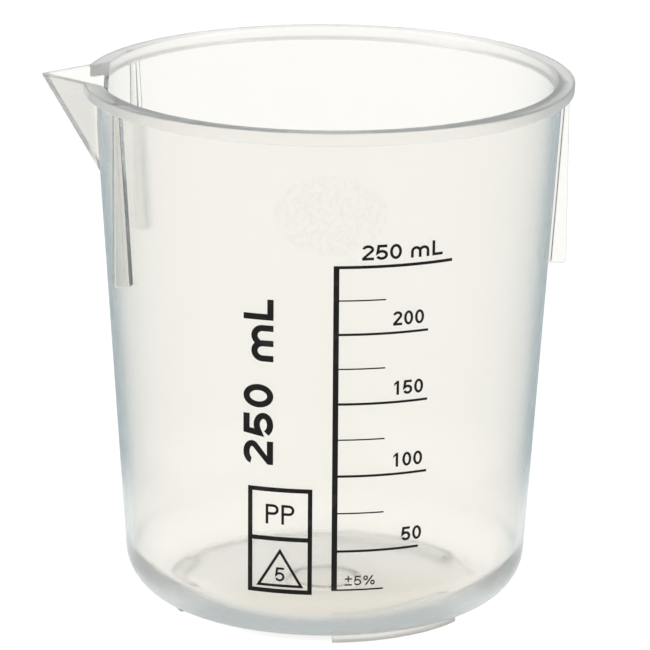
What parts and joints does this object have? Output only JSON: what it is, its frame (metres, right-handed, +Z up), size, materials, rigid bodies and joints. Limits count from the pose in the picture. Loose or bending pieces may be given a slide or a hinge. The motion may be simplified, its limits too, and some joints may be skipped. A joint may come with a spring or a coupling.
{
  "type": "beaker",
  "caption": "Low-form laboratory beaker in translucent plastic: tapered cup with a flanged rim, V-shaped pouring spout, stacking ribs, short feet and a printed millilitre scale.",
  "frame": {"origin": "in the middle of the bounding box's underside, on the plane that the three feet stand on. The cup's upright axis is at x = +3.5 mm, because the spout reaches further out than the rim", "axes": "+Z up along the cup's axis; the spout points along -X; the scale and the writing patch face -Y"},
  "size_m": [0.0908, 0.0838, 0.0923],
  "materials": {
    "plastic": "gloss",
    "stippled_plastic": "matte",
    "ink": "satin"
  },
  "bodies": {
    "root": {"side_wall": "plastic", "base_floor": "plastic", "rim_flange": "plastic", "pouring_spout": "plastic", "stack_rib_left": "plastic", "stack_rib_right": "plastic", "stack_rib_back": "plastic", "foot_spout": "plastic", "foot_front": "plastic", "foot_back": "plastic", "writing_patch": "stippled_plastic", "scale_bar": "ink", "line_025": "ink", "line_050": "ink", "line_075": "ink", "line_100": "ink", "line_125": "ink", "line_150": "ink", "line_175": "ink", "line_200": "ink", "line_225": "ink", "line_250": "ink", "numeral_050": "ink", "numeral_100": "ink", "numeral_150": "ink", "numeral_200": "ink", "numeral_250": "ink", "unit_mark": "ink", "tolerance_mark": "ink", "capacity_mark": "ink", "code_frame": "ink", "code_letters": "ink", "code_triangle": "ink"}
  },
  "joints": []
}
